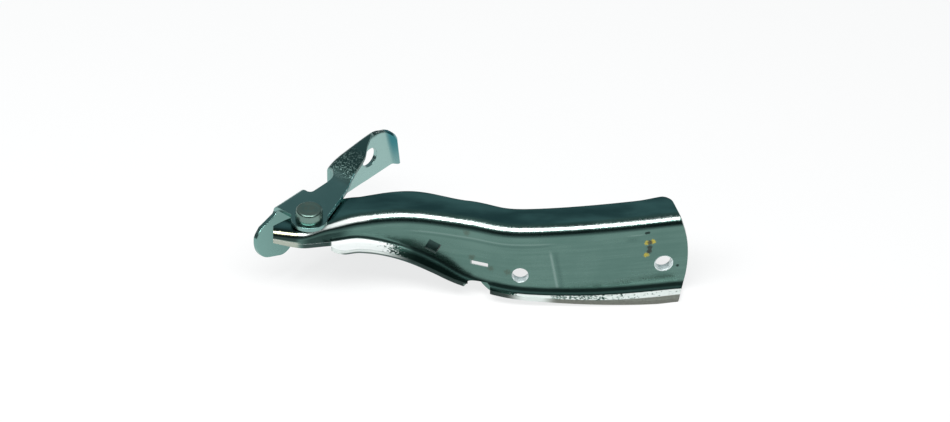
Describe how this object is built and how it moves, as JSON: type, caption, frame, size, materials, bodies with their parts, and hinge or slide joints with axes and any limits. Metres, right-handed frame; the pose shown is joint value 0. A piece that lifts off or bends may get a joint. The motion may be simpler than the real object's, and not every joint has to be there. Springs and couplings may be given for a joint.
{
  "type": "bonnet hinge",
  "caption": "Pressed steel bonnet hinge: a curved Z-section arm with drawn bolt holes turns on a riveted angle bracket with a stop tongue and a bolt ear.",
  "frame": {"origin": "centre of the body bolt hole, at the outer face of the bracket's wall", "axes": "+Z along the pivot axis towards the rivet head, +X along the arm from pivot to tip, +Y away from the web's front face"},
  "size_m": [0.2359, 0.0943, 0.0606],
  "materials": {
    "zinc_arm": "blue passivated zinc, satin web and bright bends",
    "zinc_bracket": "blue passivated zinc",
    "rivet_steel": "zinc plated, dull flat top",
    "washer_steel": "zinc plated",
    "bush_bronze": "plain sintered bronze"
  },
  "bodies": {
    "bracket": {"body_bracket": "zinc_bracket", "pivot_rivet": "rivet_steel", "thrust_washer": "washer_steel", "tail_washer": "washer_steel"},
    "arm": {"hinge_arm": "zinc_arm", "pivot_bush": "bush_bronze"}
  },
  "joints": [
    {"name": "arm_pivot", "type": "hinge", "parent": "bracket", "child": "arm", "pos_m": [-0.03109, -0.06838, 0.00444], "axis": [0, 0, 1], "range_deg": [-39, 35]}
  ]
}
